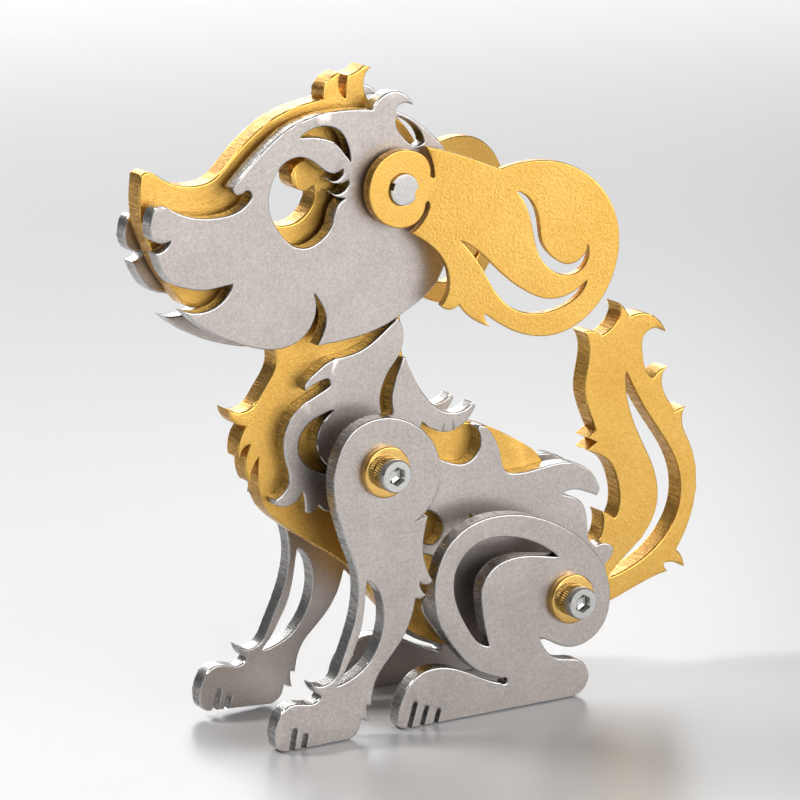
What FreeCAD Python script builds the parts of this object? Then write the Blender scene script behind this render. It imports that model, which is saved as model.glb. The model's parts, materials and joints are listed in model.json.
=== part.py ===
import FreeCAD, Part

import math
import os

App = FreeCAD

# A standing puppy made of flat cut metal plates, screwed together in layers on four cross
# pins.  It looks along -X, its left side is -Y and its feet stand on Z = 0.  Every plate is
# drawn in the side view as (x, z), with x measured from the drawing's own zero line.
MID_X = 11.25             # drawing x of the middle of the dog's length

# Sheet thicknesses
SILVER = 2.8              # legs, body and head plates
CORE = 4.0                # middle plate
TAIL = 3.9                # turns freely between the two body plates
EAR = 1.9

# Layers, as the distance of each inner face from the middle of the dog
BODY_Y = CORE / 2
HEAD_Y = 3.36
EAR_Y = 7.06
LEG_Y = 9.03

# Cross pins
FRONT = (-3.8, 44.4)      # front leg axle
HIND = (32.2, 17.65)      # hind leg and tail axle
EARS = (1.35, 89.3)       # ear pin, which also carries the head plates
DOWEL = (22.0, 19.5)      # locks the middle plate between the body plates
AXLE_R = 2.5
AXLE_END = 9.0
PIN_R = 2.55
PIN_END = 9.5
DOWEL_R = 1.5
RUN = 0.05                # radial clearance of everything that turns

# Leg bearings: a flanged brass bush held on the end of the axle by an M3 socket screw
SHANK_R = 3.0
SHANK_END = 11.87
FLANGE_R = 4.25
FLANGE_END = 13.1
BUSH_BORE_R = 1.6
SCREW_R = 1.5
SCREW_TIP = 4.0
HEAD_R = 2.75
HEAD_END = 16.1
HEX_AF = 2.5
HEX_DEPTH = 1.5
SLEEVE_R = 4.0

# Attitude of the plates that are not parallel to their twins
FAR_LEG_SWING = 3.79      # right front paw forward, degrees
FAR_HEAD_NOD = 4.1        # right half of the head nose down, degrees

# Ears: keyed on their pin, with the lobe bent outwards
KEY_ANGLE = -17.0
KEY_WIDTH = 1.2
KEY_FLOOR = 2.05
BEND_ANGLE = 17.0
BEND_RADIUS = 0.4

LEFT = -1
RIGHT = 1

# Each outline starts with one point and goes on with runs that meet in sharp corners.
# A run of one point is a straight line, of two an arc through the first, of more a curve.

FRONT_LEG = [
    (-17.1, 10.7),
    # shin, thigh and the round hip
    [(-15.2, 10.0), (-13.3, 10.6), (-11.6, 13.6), (-9.9, 18.0), (-8.8, 22.0), (-8.5, 25.0), (-8.8, 28.0),
     (-10.2, 32.0), (-11.6, 36.0), (-12.7, 40.0), (-13.0, 43.5), (-12.1, 48.0), (-9.5, 51.6), (-4.2, 53.2),
     (1.0, 51.9), (5.5, 47.9), (6.9, 42.5), (5.6, 38.2), (4.0, 36.2)],
    [(1.8, 35.0)],
    [(4.5, 35.7)],
    # back of the leg with two tufts
    [(3.9, 32.5), (3.7, 30.0), (4.3, 27.2), (5.6, 24.5)],
    [(4.4, 24.0), (3.1, 24.8)],
    [(3.4, 23.5), (4.25, 22.45)],
    [(3.3, 21.8), (2.3, 22.1)],
    [(1.9, 20.0), (0.9, 17.3), (-1.0, 14.4), (-3.2, 12.0), (-4.9, 9.8), (-5.7, 7.5), (-5.9, 5.3)],
    [(-6.35, 5.2), (-6.85, 5.45)],
    [(-6.75, 4.0), (-6.35, 2.6)],
    [(-7.2, 2.75), (-8.0, 3.2)],
    # heel, sole and toes
    [(-8.7, 0.9), (-10.3, 0.0)],
    [(-22.2, 0.0)],
    [(-23.3, 0.6), (-23.8, 1.8)],
    [(-23.9, 3.9), (-23.1, 6.1), (-21.2, 7.6), (-18.7, 7.5), (-16.7, 7.3), (-15.4, 8.35)],
    [(-16.5, 9.3), (-17.1, 10.7)],
]

FRONT_LEG_SLOT = [
    (-6.9, 26.5),
    [(-4.9, 24.8), (-3.9, 22.0), (-3.8, 19.0), (-4.6, 15.8), (-7.1, 12.0), (-9.9, 10.3), (-12.6, 9.45)],
    [(-11.2, 11.3), (-9.6, 14.2), (-8.2, 17.4), (-7.4, 21.0), (-7.1, 24.0), (-6.9, 26.5)],
]

# Claw slits: lower end, upper end and width
FRONT_CLAWS = [
    ((-21.05, -1.0), (-20.25, 3.2), 0.9),
    ((-18.95, -1.0), (-18.25, 2.0), 0.85),
]

HIND_LEG = [
    (0.5, 0.0),
    # top of the foot, to the end of the slit under the thigh
    [(-0.71, 0.59), (-1.0, 1.9)],
    [(-0.6, 4.2), (0.8, 6.9), (3.2, 8.95), (6.8, 9.5), (10.5, 8.6), (15.3, 6.3), (19.2, 4.8)],
    [(20.15, 5.0), (19.3, 5.45)],
    # thigh, rump and heel
    [(17.3, 6.3), (13.8, 8.1), (10.6, 11.3), (7.8, 15.3), (6.3, 19.1), (6.0, 23.5), (7.7, 28.9), (12.0, 32.6),
     (18.0, 33.85), (25.0, 32.7), (31.0, 30.0), (36.9, 25.3), (39.7, 20.8), (40.5, 16.0), (39.3, 11.9),
     (36.2, 9.4), (32.5, 8.9), (29.5, 10.0), (26.45, 11.65)],
    [(27.8, 9.1), (29.5, 7.6), (32.3, 6.85), (34.7, 6.2), (36.4, 4.0), (36.1, 1.8)],
    [(34.79, 0.48), (33.0, 0.0)],
    [(0.5, 0.0)],
]

HIND_LEG_SLOT = [
    (30.1, 25.0),
    [(26.0, 27.8), (20.0, 29.9), (14.0, 29.5), (10.2, 25.8), (9.9, 21.0), (12.4, 15.4), (14.8, 12.4), (16.6, 11.6)],
    [(15.8, 14.6), (15.1, 19.0), (15.2, 22.3), (17.2, 24.9), (20.5, 26.1), (25.0, 26.0), (30.1, 25.0)],
]

HIND_CLAWS = [
    ((0.85, -1.0), (2.35, 3.95), 0.8),
    ((3.25, -1.0), (4.55, 2.95), 0.75),
    ((5.9, -1.0), (6.9, 2.05), 0.75),
]

BODY = [
    (3.2, 67.2),
    # curved slit that parts the neck from the shoulder tuft
    [(3.9, 65.5), (3.6, 62.0), (1.2, 58.6), (-0.2, 55.5), (-0.1, 52.2)],
    [(0.9, 50.9), (2.0, 52.2)],
    [(1.85, 53.8), (2.5, 57.0), (3.9, 60.6)],
    [(4.25, 60.75), (4.6, 60.3)],
    [(5.6, 58.0), (7.2, 55.2), (9.5, 52.4), (12.5, 50.5), (15.3, 50.4), (17.3, 51.6)],
    [(17.9, 50.9)],
    [(16.9, 49.3), (14.7, 47.7), (12.0, 47.2), (9.3, 48.2), (7.6, 49.5)],
    # back and rump
    [(7.6, 46.8), (9.5, 44.0), (13.2, 41.8), (16.5, 41.5), (18.4, 43.0), (18.3, 46.9)],
    [(18.65, 47.4), (19.2, 47.45)],
    [(21.6, 45.1), (22.9, 41.8), (24.0, 39.0), (26.5, 38.3), (30.0, 38.5), (34.0, 38.95), (37.8, 38.5),
     (40.8, 36.7), (42.85, 33.2)],
    [(42.3, 32.2)],
    [(40.0, 33.2), (37.0, 33.9), (35.1, 33.35)],
    [(37.3, 32.7), (39.3, 31.3), (40.3, 28.5), (40.8, 24.5)],
    [(42.3, 23.4)],
    [(44.3, 23.55), (45.9, 22.6)],
    [(45.5, 21.1), (44.2, 19.8)],
    # haunch
    [(43.5, 15.3), (40.5, 11.0), (36.0, 8.8), (28.0, 8.5), (20.0, 8.7), (15.2, 9.6), (12.0, 11.4), (9.2, 15.0),
     (7.7, 18.2), (8.7, 20.2), (12.4, 23.8)],
    # belly and the ragged edge of the mane
    [(9.9, 26.3), (7.0, 27.2), (2.5, 28.3), (-2.5, 31.3), (-6.0, 34.9), (-9.8, 36.7)],
    [(-11.2, 37.3), (-11.9, 38.2)],
    [(-13.0, 37.0), (-14.3, 37.3)],
    [(-14.4, 39.4), (-14.8, 40.9)],
    [(-15.7, 39.4), (-17.5, 38.7), (-19.9, 39.3)],
    [(-19.8, 40.1)],
    [(-18.3, 41.0), (-17.2, 43.0), (-17.8, 46.0), (-18.2, 49.0), (-17.2, 52.8), (-14.6, 55.2), (-12.2, 56.4),
     (-9.9, 57.5)],
    [(-9.65, 58.4), (-10.4, 58.8)],
    [(-12.3, 58.3), (-14.0, 57.3)],
    [(-14.3, 58.0), (-12.4, 60.1), (-10.0, 61.6), (-6.0, 62.3), (-2.5, 63.5), (0.3, 65.4), (2.4, 66.95)],
    [(2.9, 67.35), (3.2, 67.2)],
]

BODY_SLOT = [
    (-8.7, 53.6),
    [(-11.7, 52.8), (-14.6, 50.8), (-15.4, 47.4), (-13.5, 44.6), (-10.5, 43.1), (-7.5, 43.1)],
    [(-9.9, 44.2), (-11.5, 46.0), (-12.2, 48.7), (-11.2, 51.5), (-8.7, 53.6)],
]

BODY_WINDOW = [
    (8.6, 34.4),
    [(10.6, 33.2), (11.8, 31.3), (11.2, 29.4), (9.5, 28.3)],
    [(7.0, 29.6), (5.9, 31.6), (6.6, 33.6), (8.6, 34.4)],
]

BODY_NICK = [
    (17.0, 32.8),
    [(18.3, 30.3), (18.6, 27.5)],
    [(17.0, 29.9), (17.0, 32.8)],
]

HEAD = [
    (-36.8, 73.2),
    # mouth, muzzle and nose
    [(-34.0, 72.65), (-31.0, 73.2), (-28.9, 74.8), (-27.9, 76.6)],
    [(-30.3, 76.2), (-33.5, 76.1), (-36.5, 76.8), (-38.7, 77.8), (-40.4, 80.0), (-41.4, 82.8)],
    [(-39.9, 83.2), (-38.7, 84.6)],
    [(-40.3, 84.2), (-41.8, 84.9)],
    [(-42.2, 88.0), (-41.0, 90.1), (-38.0, 89.1), (-33.0, 87.5), (-29.0, 87.5), (-26.0, 88.5), (-24.45, 90.2)],
    [(-24.9, 91.0), (-25.8, 90.85)],
    [(-27.3, 90.8), (-27.8, 91.9)],
    # forehead and the curl over the ear
    [(-25.0, 94.7), (-22.0, 97.4), (-18.0, 100.2), (-13.0, 101.9), (-7.0, 102.4), (-2.7, 102.0)],
    [(-1.2, 103.8), (1.0, 104.7), (3.6, 103.9), (4.85, 102.2)],
    [(3.3, 102.65), (1.6, 101.5)],
    # back of the skull, jaw and cheek
    [(4.4, 100.2), (7.8, 97.7), (10.6, 94.8), (12.4, 90.0), (12.6, 84.0), (11.6, 78.0), (10.2, 74.0), (7.5, 71.0),
     (3.5, 68.6), (0.0, 66.9), (-6.0, 65.4), (-12.7, 64.9)],
    [(-11.7, 66.8), (-11.1, 69.2), (-12.0, 71.7), (-13.4, 73.6)],
    [(-12.95, 70.5), (-15.0, 66.8), (-20.0, 65.1), (-25.0, 66.1), (-30.5, 68.4), (-34.5, 71.0), (-36.8, 73.2)],
]

# Eye opening of the head plate, with three lashes
EYE = [
    (-8.0, 93.05),
    [(-8.5, 91.7), (-9.7, 91.2), (-11.0, 91.9)],
    [(-9.8, 90.9), (-8.5, 90.7), (-6.9, 91.15)],
    [(-7.7, 89.6), (-9.0, 89.05), (-10.7, 89.8)],
    [(-9.4, 88.7), (-7.55, 88.25)],
    [(-9.5, 86.4), (-10.3, 83.8), (-12.2, 81.9), (-14.6, 81.0), (-17.0, 81.5), (-19.4, 83.8), (-21.1, 86.8),
     (-21.0, 91.2), (-18.6, 94.8), (-15.6, 95.5), (-12.6, 94.0), (-10.3, 92.5), (-8.0, 93.05)],
]

BROW = [
    (-15.9, 98.6),
    [(-14.0, 99.7), (-11.0, 100.05), (-8.6, 99.1), (-7.1, 96.8), (-6.6, 93.9)],
    [(-7.6, 95.3), (-9.5, 97.3), (-12.3, 98.4), (-15.9, 98.6)],
]

HEAD_DROP = [
    (1.9, 100.6),
    [(1.7, 99.3), (3.1, 97.1), (5.1, 95.6), (6.9, 96.0)],
    [(6.4, 97.5), (4.7, 99.3), (1.9, 100.6)],
]

MIDDLE = [
    (-41.7, 94.2),
    # nose and chin
    [(-42.0, 91.0), (-41.6, 86.5), (-40.2, 82.7), (-38.5, 79.0), (-36.1, 75.4), (-34.1, 73.0), (-31.5, 72.4),
     (-29.2, 73.1), (-27.2, 74.4)],
    [(-23.5, 71.3), (-18.3, 64.0)],
    # throat and the ragged chest
    [(-18.3, 61.0), (-20.4, 57.6), (-22.9, 54.8), (-24.6, 54.5), (-26.7, 55.2)],
    [(-25.7, 53.0), (-23.5, 52.1)],
    [(-24.8, 49.7), (-24.8, 47.0)],
    [(-24.0, 48.3), (-22.7, 49.05)],
    [(-23.7, 46.0), (-22.8, 42.7)],
    [(-22.2, 44.9), (-21.2, 46.8)],
    # belly
    [(-21.4, 43.0), (-20.1, 38.2), (-17.0, 34.9), (-11.0, 30.6), (-5.2, 26.3), (-0.5, 20.9), (4.5, 15.3),
     (11.0, 10.8), (18.0, 8.9), (27.0, 12.1)],
    # clear of the tail's hub, then up to the back
    [(25.2, 16.2), (28.0, 23.5)],
    [(29.0, 28.0), (30.8, 33.0), (33.4, 38.4)],
    [(32.2, 40.0), (27.5, 43.4), (21.7, 46.4), (16.5, 47.9), (11.0, 50.6), (7.2, 55.0), (5.2, 63.0), (6.2, 75.0),
     (9.2, 84.0), (9.8, 90.0), (7.6, 95.5), (3.8, 100.1), (-1.0, 102.9)],
    # two curls on the crown
    [(-1.8, 104.9), (-1.5, 107.0), (-0.5, 108.1)],
    [(-1.8, 108.5)],
    [(-3.2, 107.6), (-4.9, 107.1)],
    [(-5.2, 105.3), (-5.1, 103.4)],
    [(-6.25, 105.0), (-6.1, 107.2)],
    [(-6.4, 107.7)],
    [(-7.9, 106.9), (-9.1, 105.5), (-9.2, 103.7)],
    # forehead and bridge of the nose
    [(-13.0, 103.1), (-17.0, 101.9), (-20.5, 100.0), (-23.5, 97.7), (-26.5, 94.8), (-28.8, 92.7), (-31.5, 91.9),
     (-34.5, 92.1), (-38.0, 93.5), (-40.4, 94.8), (-41.7, 94.2)],
]

# Opening in the middle plate, around a round pupil that stays joined at its upper right
PUPIL = [
    (-11.0, 89.9),
    [(-11.0, 88.0), (-13.0, 85.0), (-16.0, 84.0), (-20.0, 85.2), (-22.0, 89.0), (-20.5, 93.5), (-16.5, 95.8),
     (-12.2, 94.4)],
    [(-14.2, 93.6), (-15.3, 91.3), (-13.4, 89.4), (-11.0, 89.9)],
]

TAIL_OUTLINE = [
    (34.0, 11.4),
    # lower edge and the first locks
    [(40.0, 10.8), (47.5, 12.1), (53.0, 14.0), (59.2, 15.6)],
    [(58.6, 16.3), (58.4, 17.1)],
    [(60.5, 17.0), (62.6, 15.9)],
    [(62.2, 17.7), (60.9, 19.2)],
    [(63.3, 23.5), (64.6, 28.0), (64.7, 33.0), (63.2, 38.2), (61.6, 41.9), (62.1, 44.6)],
    [(61.0, 44.4), (60.0, 43.9)],
    [(58.7, 46.0), (57.4, 48.5), (57.3, 50.8), (58.2, 52.1)],
    [(56.6, 51.6), (55.3, 50.4)],
    [(53.8, 52.2), (53.1, 55.0), (53.4, 58.2), (54.7, 59.0), (57.7, 58.3)],
    [(56.2, 60.6), (53.5, 62.0), (50.2, 61.6)],
    [(49.3, 63.2), (48.0, 64.4)],
    [(48.3, 62.9), (47.6, 61.2), (44.6, 59.2)],
    [(43.2, 60.0), (41.0, 60.1)],
    [(42.1, 57.5), (41.7, 53.5), (41.3, 50.0), (42.0, 47.0), (43.8, 42.8)],
    [(42.05, 41.7)],
    [(44.0, 40.65)],
    [(42.0, 39.5)],
    [(43.5, 38.8), (46.2, 37.2), (48.5, 32.7), (48.8, 29.0), (47.9, 26.7)],
    [(46.9, 27.5), (45.2, 28.3)],
    # root, narrowing into the round hub
    [(45.6, 26.0), (44.6, 23.4), (41.0, 22.2), (37.0, 22.2)],
    [(25.9, 19.2), (34.0, 11.4)],
]

TAIL_SLOT = [
    (49.7, 52.4),
    [(51.5, 48.9), (55.0, 43.4), (58.9, 37.9), (61.2, 32.6), (61.2, 27.3), (58.2, 21.9), (53.0, 18.2), (46.7, 16.2)],
    [(50.5, 19.8), (54.2, 23.1), (56.6, 27.6), (56.1, 33.8), (52.8, 40.6), (50.1, 47.7), (49.7, 52.4)],
]

# Flat pattern of the ear: a disc on the pin and a long lobe, joined by a narrow neck
EAR_DISC = [
    (6.72, 90.72),
    [(6.45, 91.0)],
    [(5.9, 93.6), (4.4, 94.9)],
    [(-4.9, 90.0), (2.3, 83.1)],
    [(4.7, 84.4), (5.6, 86.6)],
    [(5.9, 86.9)],
    [(6.72, 90.72)],
]

EAR_LOBE = [
    (6.72, 90.72),
    [(5.9, 86.9)],
    [(6.15, 86.5)],
    [(5.1, 84.1), (2.9, 82.0)],
    # lower edge with its lock of hair
    [(4.9, 80.8), (7.9, 77.9), (9.1, 74.2), (8.6, 71.5), (7.6, 70.0)],
    [(9.1, 69.2), (10.7, 70.0)],
    [(12.9, 67.5), (15.8, 66.1)],
    [(15.1, 67.1), (14.9, 68.3)],
    # round end and back along the top
    [(17.6, 66.3), (21.1, 64.6), (26.6, 64.1), (32.8, 67.4), (36.8, 73.8), (37.5, 82.0), (34.0, 88.7), (28.3, 92.1),
     (22.7, 92.6), (17.9, 91.6)],
    [(13.3, 93.5), (9.7, 94.7), (5.6, 95.8)],
    [(6.7, 93.3), (6.95, 90.95)],
    [(6.72, 90.72)],
]

EAR_HOOK = [
    (20.6, 87.8),
    [(22.1, 87.1), (23.7, 84.9), (24.3, 81.9), (24.9, 78.8), (26.8, 76.5), (29.1, 75.5), (31.3, 76.4), (32.4, 78.6)],
    [(32.1, 75.9), (30.6, 74.2), (28.4, 73.8), (26.2, 74.8), (24.3, 77.1), (23.4, 80.3), (22.5, 84.5), (20.6, 87.8)],
]

EAR_SLOT = [
    (11.0, 80.4),
    [(14.6, 78.0), (17.2, 75.3), (19.6, 73.1), (22.4, 71.2), (25.9, 70.0), (29.4, 70.7), (32.2, 72.8)],
    [(30.9, 70.6), (28.1, 68.7), (24.7, 67.8), (21.0, 68.2), (17.9, 70.3), (15.0, 75.0), (13.1, 78.0), (11.0, 80.4)],
]


def spot(point, y=0.0):
    """Drawing point (x, z) as a position in the model, at depth y."""
    return App.Vector(point[0] - MID_X, y, point[1])


def run_edge(start, run, y):
    """One edge from the point start through the points of a run."""
    points = [spot(start, y)] + [spot(point, y) for point in run]
    if len(points) == 2:
        return Part.LineSegment(points[0], points[1]).toShape()
    if len(points) == 3:
        return Part.Arc(points[0], points[1], points[2]).toShape()
    curve = Part.BSplineCurve()
    curve.interpolate(points)
    return curve.toShape()


def profile(outline, y):
    """Flat face enclosed by an outline, at depth y."""
    start = outline[0]
    edges = []
    for run in outline[1:]:
        edges.append(run_edge(start, run, y))
        start = run[-1]
    return Part.Face(Part.Wire(edges))


def slab(outline, side, inner, thickness):
    """Outline cut from sheet whose inner face is a given distance from the middle."""
    face = profile(outline, side * inner)
    return face.extrude(App.Vector(0, side * thickness, 0))


def rod(centre, radius, side, start, end):
    """Cylinder along Y between two distances from the middle."""
    base = spot(centre, side * start)
    return Part.makeCylinder(radius, end - start, base, App.Vector(0, side, 0))


def cross_rod(centre, radius, end):
    """Cylinder that runs right through the dog, the same length to both sides."""
    return Part.makeCylinder(radius, 2 * end, spot(centre, -end), App.Vector(0, 1, 0))


def cut_all(solid, tools):
    """Solid without the tools."""
    for tool in tools:
        solid = solid.cut(tool)
    return solid


def slit(lower, upper, width, side, inner, thickness):
    """Straight saw slit with a round upper end."""
    length = math.hypot(upper[0] - lower[0], upper[1] - lower[1])
    tilt = math.degrees(math.atan2(upper[0] - lower[0], upper[1] - lower[1]))
    y = min(side * inner, side * (inner + thickness)) - 1
    corner = spot((lower[0] - width / 2, lower[1]), y)
    bar = Part.makeBox(width, thickness + 2, length, corner)
    bar.rotate(spot(lower, y), App.Vector(0, 1, 0), tilt)
    end = Part.makeCylinder(width / 2, thickness + 2, spot(upper, y), App.Vector(0, 1, 0))
    return bar.fuse(end)


def turned(solid, pivot, angle):
    """Solid turned about a cross pin; a positive angle lifts the nose or swings a paw forward."""
    solid.rotate(spot(pivot), App.Vector(0, 1, 0), angle)
    return solid


def leg(outline, slot, claws, pivot, side):
    """Leg plate with its decorative slot, claw slits and bearing hole."""
    plate = slab(outline, side, LEG_Y, SILVER)
    cuts = [slab(slot, side, LEG_Y, SILVER), rod(pivot, SHANK_R + RUN, side, LEG_Y, LEG_Y + SILVER)]
    for lower, upper, width in claws:
        cuts.append(slit(lower, upper, width, side, LEG_Y, SILVER))
    return cut_all(plate, cuts)


def front_leg(side):
    plate = leg(FRONT_LEG, FRONT_LEG_SLOT, FRONT_CLAWS, FRONT, side)
    if side == RIGHT:
        plate = turned(plate, FRONT, FAR_LEG_SWING)
    return plate


def hind_leg(side):
    return leg(HIND_LEG, HIND_LEG_SLOT, HIND_CLAWS, HIND, side)


def body_plate(side):
    """Side of the body, from the mane to the rump, clamped against the middle plate."""
    cuts = [slab(shape, side, BODY_Y, SILVER) for shape in (BODY_SLOT, BODY_WINDOW, BODY_NICK)]
    cuts.append(cross_rod(FRONT, AXLE_R, 20))
    cuts.append(cross_rod(HIND, AXLE_R, 20))
    cuts.append(cross_rod(DOWEL, DOWEL_R, 20))
    return cut_all(slab(BODY, side, BODY_Y, SILVER), cuts)


def head_plate(side):
    """Side of the head, which nods about the ear pin."""
    cuts = [slab(shape, side, HEAD_Y, SILVER) for shape in (EYE, BROW, HEAD_DROP)]
    cuts.append(cross_rod(EARS, PIN_R + RUN, 20))
    plate = cut_all(slab(HEAD, side, HEAD_Y, SILVER), cuts)
    if side == RIGHT:
        plate = turned(plate, EARS, -FAR_HEAD_NOD)
    return plate


def middle_plate():
    """Gold core from nose to loin, which carries the pins."""
    half = CORE / 2
    cuts = [slab(PUPIL, RIGHT, -half, CORE), cross_rod(FRONT, AXLE_R, 20)]
    cuts.append(cross_rod(EARS, PIN_R + RUN, 20))
    cuts.append(cross_rod(DOWEL, DOWEL_R, 20))
    return cut_all(slab(MIDDLE, RIGHT, -half, CORE), cuts)


def tail_plate():
    """Gold tail with a hub that turns on the hind axle."""
    half = TAIL / 2
    cuts = [slab(TAIL_SLOT, RIGHT, -half, TAIL), cross_rod(HIND, AXLE_R + RUN, 20)]
    return cut_all(slab(TAIL_OUTLINE, RIGHT, -half, TAIL), cuts)


def key_block(reach, half_turn):
    """Bar along Y that fills one key notch, from the notch floor out to a radius."""
    bar = Part.makeBox(reach - KEY_FLOOR, 60, KEY_WIDTH, App.Vector(KEY_FLOOR, -30, -KEY_WIDTH / 2))
    bar.rotate(App.Vector(0, 0, 0), App.Vector(0, 1, 0), -KEY_ANGLE + half_turn)
    bar.translate(spot(EARS))
    return bar


def key_notch(side, half_turn):
    """Length of the key notch at one end of the ear pin."""
    start = min(side * EAR_Y, side * 20)
    window = Part.makeBox(20, 20 - EAR_Y, 20, spot((EARS[0] - 10, EARS[1] - 10), start))
    return key_block(4.0, half_turn).common(window)


def ear_pin():
    """Pin through the head, with two notches in each end that key the ears."""
    cuts = [key_notch(side, half_turn) for side in (LEFT, RIGHT) for half_turn in (0, 180)]
    return cut_all(cross_rod(EARS, PIN_R, PIN_END), cuts)


def ear(side):
    """Keyed ear: a flat disc and a lobe bent outwards across the neck that joins them."""
    hole = cross_rod(EARS, PIN_R, 20).cut(key_block(PIN_R + 1, 0))
    disc = slab(EAR_DISC, RIGHT, EAR_Y, EAR).cut(hole)
    lobe = cut_all(slab(EAR_LOBE, RIGHT, EAR_Y, EAR), [slab(shape, RIGHT, EAR_Y, EAR) for shape in (EAR_HOOK, EAR_SLOT)])

    top, bottom = EAR_LOBE[0], EAR_LOBE[1][0]
    middle = spot(((top[0] + bottom[0]) / 2, (top[1] + bottom[1]) / 2), EAR_Y + EAR / 2)
    neck = [face for face in lobe.Faces if face.CenterOfMass.distanceToPoint(middle) < 0.001][0]
    hinge = spot(bottom, EAR_Y + EAR + BEND_RADIUS)
    along = spot(top) - spot(bottom)
    lobe.rotate(hinge, along, BEND_ANGLE)
    shape = disc.fuse([neck.revolve(hinge, along, BEND_ANGLE), lobe])
    if side == LEFT:
        shape = shape.mirror(App.Vector(0, 0, 0), App.Vector(0, 1, 0))
    return shape


def axle(centre):
    """Cross tube with a threaded blind bore in each end for the leg screws."""
    bores = [rod(centre, SCREW_R, side, SCREW_TIP, AXLE_END + 1) for side in (LEFT, RIGHT)]
    return cut_all(cross_rod(centre, AXLE_R, AXLE_END), bores)


def bush(centre, side):
    """Brass bush: shank through the leg, polished flange outside it."""
    body = rod(centre, SHANK_R, side, AXLE_END, SHANK_END)
    body = body.fuse(rod(centre, FLANGE_R, side, SHANK_END, FLANGE_END))
    return body.cut(rod(centre, BUSH_BORE_R, side, AXLE_END - 1, FLANGE_END + 1))


def screw(centre, side):
    """M3 socket head screw."""
    head = rod(centre, HEAD_R, side, FLANGE_END, HEAD_END)
    rim = [edge for edge in head.Edges if abs(abs(edge.CenterOfMass.y) - HEAD_END) < 0.01]
    head = head.makeChamfer(0.2, rim)
    socket = Part.makePolygon([hex_corner(centre, side, step) for step in range(7)])
    socket = Part.Face(socket).extrude(App.Vector(0, -side * HEX_DEPTH, 0))
    return head.cut(socket).fuse(rod(centre, SCREW_R, side, SCREW_TIP, FLANGE_END))


def hex_corner(centre, side, step):
    """Corner of the hexagon socket at the face of a screw head."""
    reach = HEX_AF / math.sqrt(3)
    angle = math.radians(60 * step)
    point = (centre[0] + reach * math.cos(angle), centre[1] + reach * math.sin(angle))
    return spot(point, side * HEAD_END)


def ring(centre, outer, bore, side, start, end):
    """Washer or sleeve."""
    return rod(centre, outer, side, start, end).cut(rod(centre, bore, side, start - 1, end + 1))


def save(name, shape):
    shape.exportStep("parts/" + name + ".step")


os.makedirs("parts", exist_ok=True)

save("core_plate", middle_plate())
save("tail_plate", tail_plate())
save("front_axle", axle(FRONT))
save("hind_axle", axle(HIND))
save("ear_pin", ear_pin())
save("body_dowel", cross_rod(DOWEL, DOWEL_R, BODY_Y + SILVER))

for side, name in ((LEFT, "left"), (RIGHT, "right")):
    save("body_plate_" + name, body_plate(side))
    save("head_plate_" + name, head_plate(side))
    save("ear_" + name, ear(side))
    save("front_leg_" + name, front_leg(side))
    save("hind_leg_" + name, hind_leg(side))
    save("head_washer_" + name, ring(EARS, 4.0, PIN_R + RUN, side, BODY_Y, HEAD_Y - 0.03))
    save("ear_washer_" + name, ring(EARS, 5.0, PIN_R, side, HEAD_Y + SILVER + 0.03, EAR_Y))
    for centre, end in ((FRONT, "front"), (HIND, "hind")):
        save(end + "_sleeve_" + name, ring(centre, SLEEVE_R, AXLE_R, side, BODY_Y + SILVER, LEG_Y - 0.03))
        save(end + "_bush_" + name, bush(centre, side))
        save(end + "_screw_" + name, screw(centre, side))
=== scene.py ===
import json
import math

import bmesh
import bpy
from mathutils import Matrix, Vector
from mathutils.bvhtree import BVHTree


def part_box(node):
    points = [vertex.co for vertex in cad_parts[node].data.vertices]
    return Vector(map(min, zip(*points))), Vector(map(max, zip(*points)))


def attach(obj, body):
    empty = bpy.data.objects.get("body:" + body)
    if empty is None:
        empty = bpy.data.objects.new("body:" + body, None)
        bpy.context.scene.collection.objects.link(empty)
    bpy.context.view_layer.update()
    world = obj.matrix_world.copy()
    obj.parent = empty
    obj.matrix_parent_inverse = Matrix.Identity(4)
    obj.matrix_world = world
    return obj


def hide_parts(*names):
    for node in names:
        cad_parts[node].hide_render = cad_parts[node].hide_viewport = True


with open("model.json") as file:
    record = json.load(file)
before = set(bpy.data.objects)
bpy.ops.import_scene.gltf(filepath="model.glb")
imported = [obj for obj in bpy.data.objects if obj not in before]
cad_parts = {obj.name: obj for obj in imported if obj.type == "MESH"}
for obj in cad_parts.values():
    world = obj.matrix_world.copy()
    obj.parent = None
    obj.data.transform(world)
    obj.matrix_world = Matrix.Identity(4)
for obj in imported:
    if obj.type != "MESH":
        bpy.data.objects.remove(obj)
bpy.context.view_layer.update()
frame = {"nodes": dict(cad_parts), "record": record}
MM = 0.001


# ---------------------------------------------------------------- materials

MAIN_SHARE = 0.65                   # of the first noise in a mix of two
FACE_SPAN = (0.3, 0.7)              # noise values that span the tones of a face
WALL_SPAN = (0.35, 0.65)            # and of a cut edge
CLOUD_SCALE = 90.0                  # noise scales are in waves a metre
SPECK_SCALE = 420.0
SPECK_SPAN = (0.03, 0.09)           # from the middle of a speck to clean metal
SPECK_TONE = 0.75                   # tone left in the middle of a speck
STREAKS = (3200, 260, 3200)         # long across the sheet, whose faces look along Y
DRAG_SCALE = 2600.0
SCRATCH_SCALE = 1500.0
SCRATCH_DEPTH = 0.006 * MM
SCRATCH_TONE = 0.86


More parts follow.
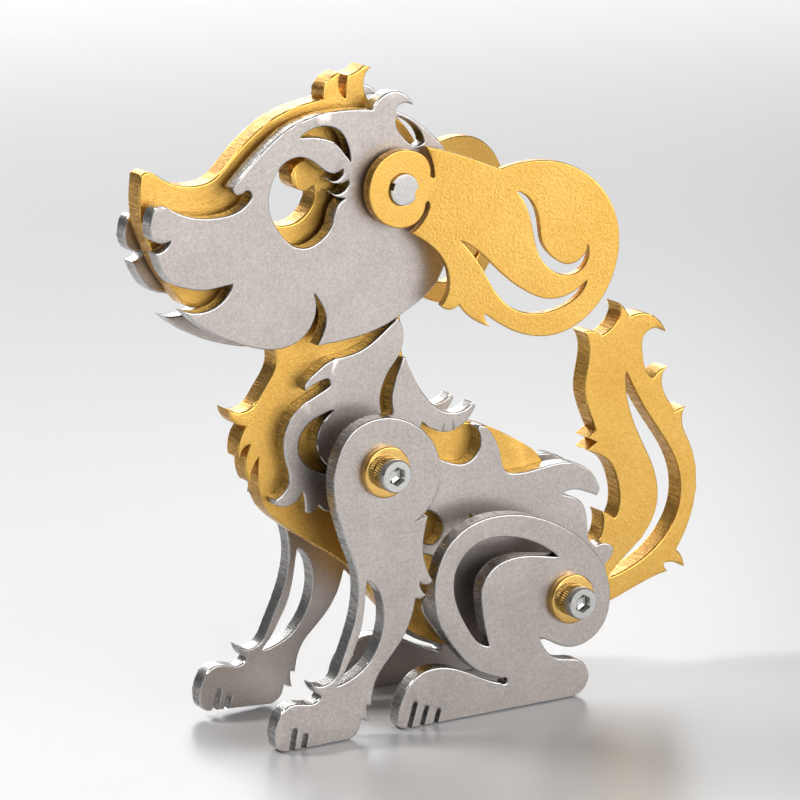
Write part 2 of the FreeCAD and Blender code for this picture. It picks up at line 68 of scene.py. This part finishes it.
class Shader:
    """Builds the nodes of one material around its Principled BSDF."""

    def __init__(self, name):
        self.material = bpy.data.materials.new(name)
        self.material.use_nodes = True
        self.nodes = self.material.node_tree.nodes
        self.links = self.material.node_tree.links
        self.bsdf = self.nodes["Principled BSDF"]
        self.coords = self.nodes.new("ShaderNodeTexCoord").outputs["Object"]

    def noise(self, scale, detail, rough, stretch=(1, 1, 1)):
        mapping = self.nodes.new("ShaderNodeMapping")
        mapping.inputs["Scale"].default_value = stretch
        self.links.new(self.coords, mapping.inputs["Vector"])
        node = self.nodes.new("ShaderNodeTexNoise")
        node.inputs["Scale"].default_value = scale
        node.inputs["Detail"].default_value = detail
        node.inputs["Roughness"].default_value = rough
        self.links.new(mapping.outputs["Vector"], node.inputs["Vector"])
        return node.outputs["Fac"]

    def cells(self, scale):
        """Distance to the nearest of many scattered points."""
        node = self.nodes.new("ShaderNodeTexVoronoi")
        node.inputs["Scale"].default_value = scale
        self.links.new(self.coords, node.inputs["Vector"])
        return node.outputs["Distance"]

    def distance(self):
        """Distance from the origin."""
        node = self.nodes.new("ShaderNodeVectorMath")
        node.operation = "LENGTH"
        self.links.new(self.coords, node.inputs[0])
        return node.outputs["Value"]

    def remap(self, value, low, high, to_low, to_high, kind="LINEAR"):
        node = self.nodes.new("ShaderNodeMapRange")
        node.interpolation_type = kind
        node.inputs["From Min"].default_value = low
        node.inputs["From Max"].default_value = high
        node.inputs["To Min"].default_value = to_low
        node.inputs["To Max"].default_value = to_high
        self.links.new(value, node.inputs["Value"])
        return node.outputs["Result"]

    def math(self, kind, a, b):
        """Result of a Math node, where a is a socket and b a socket or a float."""
        node = self.nodes.new("ShaderNodeMath")
        node.operation = kind
        self.links.new(a, node.inputs[0])
        if isinstance(b, float):
            node.inputs[1].default_value = b
        else:
            self.links.new(b, node.inputs[1])
        return node.outputs["Value"]

    def mixed(self, main, other):
        """Mostly main, with some of other."""
        return self.math(
            "ADD",
            self.math("MULTIPLY", main, MAIN_SHARE),
            self.math("MULTIPLY", other, 1.0 - MAIN_SHARE),
        )

    def colour(self, value, stops):
        """Base colour from a ramp over value, given as two (position, colour) stops."""
        node = self.nodes.new("ShaderNodeValToRGB")
        for element, (position, colour) in zip(node.color_ramp.elements, stops):
            element.position = position
            element.color = (*colour, 1.0)
        self.links.new(value, node.inputs["Fac"])
        self.links.new(node.outputs["Color"], self.bsdf.inputs["Base Color"])

    def roughness(self, value):
        self.links.new(value, self.bsdf.inputs["Roughness"])

    def bump(self, height, depth):
        node = self.nodes.new("ShaderNodeBump")
        node.inputs["Strength"].default_value = 1.0
        node.inputs["Distance"].default_value = depth
        self.links.new(height, node.inputs["Height"])
        self.links.new(node.outputs["Normal"], self.bsdf.inputs["Normal"])

    def metal(self, roughness):
        self.bsdf.inputs["Metallic"].default_value = 1.0
        self.bsdf.inputs["Roughness"].default_value = roughness
        return self

    def white_glow(self):
        """Makes the emission white and returns its strength socket."""
        self.bsdf.inputs["Emission Color"].default_value = (1, 1, 1, 1)
        return self.bsdf.inputs["Emission Strength"]


def sheet_face(name, dark, light, rough, grain, grain_depth):
    """Blasted flat face of a plate: fine grain, faint clouds and a few dark specks."""
    shader = Shader(name).metal(rough)
    fine = shader.noise(grain, 3.0, 0.6)
    tone = shader.mixed(fine, shader.noise(CLOUD_SCALE, 4.0, 0.6))
    specks = shader.remap(shader.cells(SPECK_SCALE), *SPECK_SPAN, SPECK_TONE, 1.0)
    worn = shader.math("MULTIPLY", shader.remap(tone, *FACE_SPAN, 0.0, 1.0), specks)
    shader.colour(worn, [(0.0, dark), (1.0, light)])
    shader.roughness(shader.remap(tone, *FACE_SPAN, rough + 0.07, rough - 0.05))
    shader.bump(fine, grain_depth)
    return shader.material


def sheet_wall(name, dark, light, rough, streak_depth):
    """Laser-cut edge: streaks across the thickness with granular drag lines."""
    shader = Shader(name).metal(rough)
    both = shader.mixed(shader.noise(1.0, 3.0, 0.65, STREAKS), shader.noise(DRAG_SCALE, 2.0, 0.6))
    shader.colour(shader.remap(both, *WALL_SPAN, 0.0, 1.0), [(0.0, dark), (1.0, light)])
    shader.roughness(shader.remap(both, *WALL_SPAN, rough + 0.12, rough - 0.1))
    shader.bump(both, streak_depth)
    return shader.material


def polished(name, colour, rough):
    """Turned or tumbled metal with fine scratches."""
    shader = Shader(name).metal(rough)
    fine = shader.noise(SCRATCH_SCALE, 3.0, 0.6)
    dark = tuple(SCRATCH_TONE * c for c in colour)
    shader.colour(fine, [(FACE_SPAN[0], dark), (FACE_SPAN[1], colour)])
    shader.roughness(shader.remap(fine, *FACE_SPAN, rough + 0.06, rough - 0.04))
    shader.bump(fine, SCRATCH_DEPTH)
    return shader.material


# Materials of a plate's flat faces, its cut edges and the rolled rims between them
SILVER = [
    sheet_face("silver_face", (0.43, 0.39, 0.36), (0.72, 0.65, 0.61), 0.38, 3000.0, 0.02 * MM),
    sheet_wall("silver_wall", (0.22, 0.215, 0.21), (0.62, 0.605, 0.59), 0.26, 0.06 * MM),
    polished("silver_rim", (0.74, 0.725, 0.71), 0.24),
]
GOLD = [
    sheet_face("gold_face", (0.80, 0.42, 0.075), (0.99, 0.64, 0.18), 0.38, 2800.0, 0.07 * MM),
    sheet_wall("gold_wall", (0.30, 0.135, 0.02), (0.88, 0.50, 0.11), 0.30, 0.1 * MM),
    polished("gold_rim", (0.98, 0.60, 0.15), 0.24),
]
BRASS = [polished("brass_polished", (0.92, 0.58, 0.18), 0.13)]
SCREW = [polished("screw_steel", (0.70, 0.69, 0.67), 0.15)]
PIN = [polished("pin_steel", (0.72, 0.70, 0.68), 0.30)]


# ---------------------------------------------------------------- geometry

PLATE_SHARP = 50                    # degrees between faces that stay a sharp edge
TURNED_SHARP = 32

body_of = {
    node: body
    for body, nodes in frame["record"]["behaviour"]["bodies"].items()
    for node in nodes
}


def smooth(piece, sharp_angle):
    """Smooth shading in which large flat faces stay flat."""
    mesh = piece.data
    for polygon in mesh.polygons:
        polygon.use_smooth = True
    mesh.set_sharp_from_angle(angle=math.radians(sharp_angle))
    modifier = piece.modifiers.new("flat", "WEIGHTED_NORMAL")
    modifier.keep_sharp = True
    modifier.weight = 100
    graph = bpy.context.evaluated_depsgraph_get()
    baked = bpy.data.meshes.new_from_object(piece.evaluated_get(graph))
    piece.modifiers.clear()
    piece.data = baked
    baked.name = piece.name
    bpy.data.meshes.remove(mesh)


def finish_piece(name, work, node, materials, sharp_angle):
    """Turns a built mesh into the piece that stands for a CAD node."""
    bmesh.ops.recalc_face_normals(work, faces=work.faces)
    mesh = bpy.data.meshes.new(name)
    work.to_mesh(mesh)
    work.free()
    piece = bpy.data.objects.new(name, mesh)
    bpy.context.scene.collection.objects.link(piece)
    for material in materials:
        mesh.materials.append(material)
    body = body_of[node]
    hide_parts(node)
    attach(piece, body)
    smooth(piece, sharp_angle)


RIM_STEPS = 4                       # strips in a rolled rim
MERGE = 0.002 * MM                  # CAD vertices nearer than this are one
DEGENERATE = 0.0001 * MM
CAP_COSINE = 0.9                    # a face nearer than this to square with Y is flat
PROBE_DEPTH = 2.2                   # a tip's width is measured this many radii down
PROBE_START = 0.01 * MM             # from just inside the cut edge
PROBE_LENGTH = 50 * MM
NO_WALL = 1.0                       # width where the probe meets nothing
WIDTH_SHARE = 0.36                  # most of a width that one roll takes
MIN_COSINE = 0.4                    # limits how far a sharp corner's roll reaches in
MIN_SHARE = 0.3                     # smallest roll at a sharp corner, in radii
MAX_TAPER = 0.6                     # how fast a roll widens along its rim
TAPER_ROUNDS = 3


def is_cap(face):
    """Whether a face lies on a flat side of the plate."""
    return abs(face.normal.y) > CAP_COSINE


def rim_cap(edge):
    """The flat face at an edge between a flat side and a cut edge, or None elsewhere."""
    caps = [face for face in edge.link_faces if is_cap(face)]
    return caps[0] if len(edge.link_faces) == 2 and len(caps) == 1 else None


def find_rims(source, radius):
    """Inward direction, face normal, corner cosine and size of the roll at each rim vertex."""
    inward, normals, neighbours = {}, {}, {}
    for edge in source.edges:
        cap = rim_cap(edge)
        if cap is None:
            continue
        along = edge.verts[1].co - edge.verts[0].co
        side = along.cross(cap.normal).normalized()
        if side.dot(cap.calc_center_median() - edge.verts[0].co) < 0:
            side = -side
        for vert, other in (edge.verts, reversed(edge.verts)):
            inward.setdefault(vert.index, []).append(side)
            normals.setdefault(vert.index, []).append(cap.normal.copy())
            neighbours.setdefault(vert.index, []).append((other.index, along.length))

    walls = BVHTree.FromBMesh(source)
    rims, sizes = {}, {}
    for index, sides in inward.items():
        mean = sum(sides, Vector()).normalized()
        normal = sum(normals[index], Vector()).normalized()
        corner = mean.dot(sides[0])
        start = source.verts[index].co - normal * (PROBE_DEPTH * radius) + mean * PROBE_START
        hit = walls.ray_cast(start, mean, PROBE_LENGTH)
        width = hit[3] if hit[0] is not None else NO_WALL
        rims[index] = (mean, normal, max(MIN_COSINE, corner) if len(sides) > 1 else 1.0)
        sizes[index] = min(radius, WIDTH_SHARE * width, radius * max(MIN_SHARE, corner))
    for _ in range(TAPER_ROUNDS):
        for index, near in neighbours.items():
            for other, length in near:
                sizes[index] = min(sizes[index], sizes[other] + MAX_TAPER * length)
    return rims, sizes


def roll(size, step):
    """How far down the cut edge and in from it a rolled rim is at one of its steps."""
    turn = 0.5 * math.pi * step / RIM_STEPS
    return size * (1 - math.sin(turn)), size * (1 - math.cos(turn))


def rounded_piece(node, radius, materials):
    """The CAD node with every rim between a flat face and a cut edge rolled to a radius."""
    source = bmesh.new()
    source.from_mesh(frame["nodes"][node].data)
    bmesh.ops.remove_doubles(source, verts=source.verts, dist=MERGE)
    source.normal_update()
    source.verts.ensure_lookup_table()
    rims, sizes = find_rims(source, radius)

    # Rings of vertices from the cut edge (0) over the roll to the flat face (RIM_STEPS)
    target = bmesh.new()
    rings, plain = {}, {}
    for index, (mean, normal, cosine) in rims.items():
        rings[index] = []
        for step in range(RIM_STEPS + 1):
            down, across = roll(sizes[index], step)
            point = source.verts[index].co - normal * down + mean * (across / cosine)
            rings[index].append(target.verts.new(point))

    def vertex(vert, cap):
        if vert.index in rings:
            return rings[vert.index][RIM_STEPS if cap else 0]
        if vert.index not in plain:
            plain[vert.index] = target.verts.new(vert.co)
        return plain[vert.index]

    def add(corners, material):
        corners = list(dict.fromkeys(corners))
        if len(corners) > 2 and target.faces.get(corners) is None:
            target.faces.new(corners).material_index = min(material, len(materials) - 1)

    for face in source.faces:
        cap = is_cap(face)
        add([vertex(vert, cap) for vert in face.verts], 0 if cap else 1)
    for edge in source.edges:
        cap = rim_cap(edge)
        if cap is None:
            continue
        loop = next(loop for loop in cap.loops if loop.edge == edge)
        a, b = rings[loop.vert.index], rings[loop.link_loop_next.vert.index]
        for step in range(RIM_STEPS):
            add([a[step], b[step], b[step + 1], a[step + 1]], 2)
    source.free()
    bmesh.ops.dissolve_degenerate(target, dist=DEGENERATE, edges=target.edges)
    finish_piece(node + "_plate", target, node, materials, PLATE_SHARP)


def circle(radius):
    return lambda angle: radius


def lathe(name, node, profile, count, materials):
    """Stack of rings, each (distance out along Y, radius by angle), closed at both ends."""
    low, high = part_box(node)
    centre = (low + high) / 2
    side = 1 if centre.y > 0 else -1
    work = bmesh.new()
    rings = []
    for y, radius_at in profile:
        ring = []
        for i in range(count):
            angle = 2 * math.pi * i / count
            x = centre.x + radius_at(angle) * math.cos(angle)
            z = centre.z + radius_at(angle) * math.sin(angle)
            ring.append(work.verts.new((x, side * y, z)))
        rings.append(ring)
    for a, b in zip(rings, rings[1:]):
        for i in range(count):
            j = (i + 1) % count
            work.faces.new((a[i], a[j], b[j], b[i]))
    work.faces.new(rings[0])
    work.faces.new(rings[-1])
    finish_piece(name, work, node, materials, TURNED_SHARP)


SCREW_HEIGHT = 3.0 * MM
SCREW_SHANK = 1.5 * MM
SERRATIONS = 40
POINTS_PER_SERRATION = 6
SERRATION_DEPTH = 0.16 * MM
HALF_FLATS = 1.25 * MM              # half the hexagon's nominal width across its flats


def screw_piece(node):
    """Socket screw: plain shank, serrated head with a smooth band and a bevel, and hexagon."""
    low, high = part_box(node)
    tip, face = sorted((abs(low.y), abs(high.y)))
    radius = (high.x - low.x) / 2
    under = face - SCREW_HEIGHT

    def serrated(angle):
        return radius - SERRATION_DEPTH * (0.5 - 0.5 * math.cos(SERRATIONS * angle)) ** 0.8

    def hexagon(scale):
        def radius_at(angle):
            turn = (angle + math.pi / 6) % (math.pi / 3) - math.pi / 6
            return scale * HALF_FLATS / math.cos(turn)
        return radius_at

    profile = [
        (tip, circle(1.2 * MM)),
        (tip + 0.3 * MM, circle(SCREW_SHANK)),
        (under, circle(SCREW_SHANK)),
        # Serrated lower part of the head
        (under, circle(radius - 0.25 * MM)),
        (under + 0.15 * MM, circle(radius - 0.10 * MM)),
        (under + 0.30 * MM, serrated),
        (face - 1.25 * MM, serrated),
        # Smooth band and bevel
        (face - 1.10 * MM, circle(radius - 0.12 * MM)),
        (face - 1.00 * MM, circle(radius - 0.02 * MM)),
        (face - 0.30 * MM, circle(radius - 0.02 * MM)),
        (face - 0.20 * MM, circle(radius - 0.06 * MM)),
        (face - 0.05 * MM, circle(radius - 0.16 * MM)),
        (face, circle(radius - 0.24 * MM)),
        # Hexagon socket with a chamfered mouth and a conical bottom
        (face, hexagon(1.13)),
        (face - 0.08 * MM, hexagon(1.07)),
        (face - 1.42 * MM, hexagon(1.05)),
        (face - 1.50 * MM, hexagon(0.98)),
        (face - 1.70 * MM, circle(0.5 * MM)),
    ]
    lathe(node + "_socket", node, profile, SERRATIONS * POINTS_PER_SERRATION, SCREW)


FLANGE_HEIGHT = 1.23 * MM
FLANGE_ROLL = 0.28 * MM
BUSH_SHANK = 3.0 * MM
BUSH_POINTS = 96


def bush_piece(node):
    """Brass bush: shank in the leg and a polished flange with a rolled outer rim."""
    low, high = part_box(node)
    inner, outer = sorted((abs(low.y), abs(high.y)))
    radius = (high.x - low.x) / 2
    under = outer - FLANGE_HEIGHT
    profile = [
        (inner, circle(1.7 * MM)),
        (inner, circle(BUSH_SHANK)),
        (under, circle(BUSH_SHANK)),
        (under, circle(radius - 0.1 * MM)),
    ]
    for step in range(RIM_STEPS + 1):
        down, across = roll(FLANGE_ROLL, step)
        profile.append((outer - down, circle(radius - across)))
    profile += [
        (outer, circle(2.9 * MM)),
        (outer, circle(2.6 * MM)),
        (outer - 0.1 * MM, circle(2.4 * MM)),
    ]
    lathe(node + "_flange", node, profile, BUSH_POINTS, BRASS)


HANDS = ("left", "right")
GOLD_ROLL = 0.30 * MM
EAR_ROLL = 0.22 * MM
SILVER_ROLL = 0.27 * MM
PIN_ROLL = 0.12 * MM

for node in ("core_plate", "tail_plate"):
    rounded_piece(node, GOLD_ROLL, GOLD)
for hand in HANDS:
    rounded_piece(f"ear_{hand}", EAR_ROLL, GOLD)
for kind in ("body_plate", "head_plate", "front_leg", "hind_leg"):
    for hand in HANDS:
        rounded_piece(f"{kind}_{hand}", SILVER_ROLL, SILVER)
for node in ("ear_pin", "front_axle", "hind_axle", "body_dowel"):
    rounded_piece(node, PIN_ROLL, PIN)
for hand in HANDS:
    for kind in ("head_washer", "ear_washer", "front_sleeve", "hind_sleeve"):
        rounded_piece(f"{kind}_{hand}", PIN_ROLL, PIN)
for end in ("front", "hind"):
    for hand in HANDS:
        bush_piece(f"{end}_bush_{hand}")
        screw_piece(f"{end}_screw_{hand}")


# ---------------------------------------------------------------- stage, light and camera

FLOOR_SIZE = 8.0
FLOOR_DROP = 0.1 * MM               # keeps the floor clear of the soles
GLOW_SPAN = (0.3, 1.4)              # distances over which the floor starts to glow with painted light
FLOOR_GLOW = 0.55
WALL_RADIUS = 3.9
WALL_HEIGHT = 6.0
WALL_FOOT = -0.1
WALL_GLOW = 0.72
WORLD_LOW, WORLD_HIGH = 0.08, 0.30  # strength at the horizon and high up
HIGH_UP = 0.9                       # sine of the elevation that counts as high up

CAMERA_LENS = 165.93                # millimetres, as the sensor
CAMERA_SENSOR = 36.0
CAMERA_CLIP = (0.01, 20.0)
CAMERA_AZIMUTH = math.radians(-30.867)
CAMERA_ELEVATION = math.radians(14.025)
CAMERA_ROLL = math.radians(0.212)
CAMERA_DISTANCE = 0.60437
CAMERA_TARGET = Vector((-0.005029, 0.0, 0.052313))


def make_floor():
    """Plain pale table top whose far part glows with painted light, stronger with distance from
    the origin, so it stays pale into the distance.
    """
    bpy.ops.mesh.primitive_plane_add(size=FLOOR_SIZE, location=(0, 0, -FLOOR_DROP))
    floor = bpy.context.object
    floor.name = "floor"
    shader = Shader("floor_white_painted_glow")
    shader.bsdf.inputs["Base Color"].default_value = (0.62, 0.62, 0.63, 1)
    shader.bsdf.inputs["Roughness"].default_value = 0.34
    shader.bump(shader.noise(35.0, 3.0, 0.5), 0.04 * MM)
    # Painted light: the floor glows white, more strongly the farther it is from the origin
    strength = shader.remap(shader.distance(), *GLOW_SPAN, 0.0, FLOOR_GLOW, "SMOOTHSTEP")
    shader.links.new(strength, shader.white_glow())
    floor.data.materials.append(shader.material)


def make_backdrop():
    """Plain pale wall all around, which lights nothing and shows in no reflection."""
    bpy.ops.mesh.primitive_cylinder_add(
        vertices=96,
        radius=WALL_RADIUS,
        depth=WALL_HEIGHT,
        end_fill_type="NOTHING",
        location=(0, 0, WALL_FOOT + WALL_HEIGHT / 2),
    )
    wall = bpy.context.object
    wall.name = "backdrop"
    shader = Shader("backdrop_white")
    shader.bsdf.inputs["Base Color"].default_value = (0, 0, 0, 1)
    shader.bsdf.inputs["Specular IOR Level"].default_value = 0.0
    shader.white_glow().default_value = WALL_GLOW
    wall.data.materials.append(shader.material)
    wall.visible_diffuse = wall.visible_glossy = wall.visible_shadow = False


def area_light(name, location, target, size, power, colour=(1, 1, 1)):
    light = bpy.data.lights.new(name, "AREA")
    light.shape = "RECTANGLE"
    light.size, light.size_y = size
    light.energy = power
    light.color = colour
    lamp = bpy.data.objects.new(name, light)
    lamp.location = location
    lamp.rotation_mode = "QUATERNION"
    aim = Vector(target) - Vector(location)
    lamp.rotation_quaternion = aim.to_track_quat("-Z", "Y")
    bpy.context.scene.collection.objects.link(lamp)


def make_world():
    """Dim surroundings that brighten from the horizon upwards."""
    world = bpy.data.worlds.new("studio")
    bpy.context.scene.world = world
    world.use_nodes = True
    nodes, links = world.node_tree.nodes, world.node_tree.links
    split = nodes.new("ShaderNodeSeparateXYZ")
    links.new(nodes.new("ShaderNodeTexCoord").outputs["Generated"], split.inputs["Vector"])
    rise = nodes.new("ShaderNodeMapRange")
    rise.inputs["From Min"].default_value = 0.0
    rise.inputs["From Max"].default_value = HIGH_UP
    rise.inputs["To Min"].default_value = WORLD_LOW
    rise.inputs["To Max"].default_value = WORLD_HIGH
    links.new(split.outputs["Z"], rise.inputs["Value"])
    background = nodes["Background"]
    background.inputs["Color"].default_value = (0.95, 0.97, 1.0, 1)
    links.new(rise.outputs["Result"], background.inputs["Strength"])


def make_camera():
    """Camera at the left front, a little above the dog."""
    data = bpy.data.cameras.new("camera")
    data.lens = CAMERA_LENS
    data.sensor_width = CAMERA_SENSOR
    data.clip_start, data.clip_end = CAMERA_CLIP
    camera = bpy.data.objects.new("camera", data)
    back = Vector((
        math.sin(CAMERA_AZIMUTH) * math.cos(CAMERA_ELEVATION),
        -math.cos(CAMERA_AZIMUTH) * math.cos(CAMERA_ELEVATION),
        math.sin(CAMERA_ELEVATION),
    ))
    camera.location = CAMERA_TARGET + back * CAMERA_DISTANCE
    camera.rotation_euler = (-back).to_track_quat("-Z", "Y").to_euler()
    camera.rotation_euler.rotate_axis("Z", CAMERA_ROLL)
    bpy.context.scene.collection.objects.link(camera)
    bpy.context.scene.camera = camera


make_floor()
make_backdrop()
area_light("key", (-0.60, 0.50, 0.85), (0, 0, 0.04), (0.22, 0.22), 6.0, (1.0, 0.97, 0.93))
area_light("back", (0.30, 1.0, 0.50), (0, 0, 0.06), (1.0, 0.35), 6.5)
area_light("front", (0.45, -1.00, 0.42), (0, 0, 0.05), (1.4, 0.6), 8.4)
make_world()
make_camera()
bpy.context.scene.view_settings.view_transform = "Standard"
